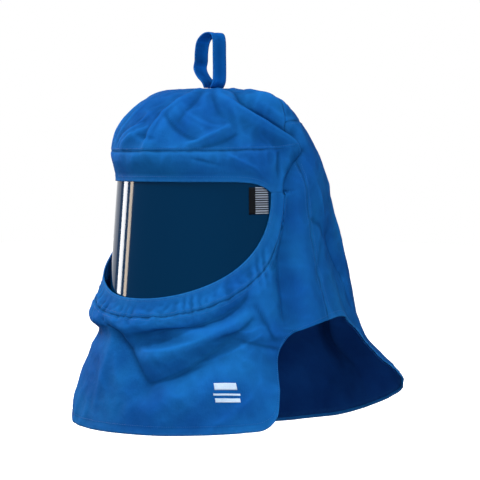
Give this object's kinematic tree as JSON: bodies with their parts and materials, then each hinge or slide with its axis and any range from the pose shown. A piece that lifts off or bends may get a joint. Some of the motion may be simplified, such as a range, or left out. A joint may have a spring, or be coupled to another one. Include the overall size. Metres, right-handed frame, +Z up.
{
  "type": "arc flash hood",
  "caption": "Blue cloth arc flash hood with a half-moon tinted face lens, shoulder cut-outs, a navy lined back drape and a hanging loop.",
  "frame": {"origin": "the point where the inside of the crown sits on top of the wearer's head gear, on the head's axis", "axes": "+Z up, the wearer faces -Y, +X is the wearer's left"},
  "size_m": [0.4695, 0.5133, 0.6738],
  "materials": {
    "shell_cloth": "plain woven, matt with a slight sheen on the folds",
    "strap": "folded shell cloth, stitched along both edges",
    "lining_cloth": "plain woven, matt",
    "lens": "polished, dark blue tint",
    "label": "satin film",
    "print": "matt heat transfer film"
  },
  "bodies": {
    "root": {"crown_front": "shell_cloth", "crown_back": "shell_cloth", "brow_band": "shell_cloth", "window_band": "shell_cloth", "front_panel": "shell_cloth", "back_panel": "shell_cloth", "back_lining": "lining_cloth", "lens": "lens", "lens_label": "label", "bib_patch": "print", "hanging_loop": "strap"}
  },
  "joints": []
}
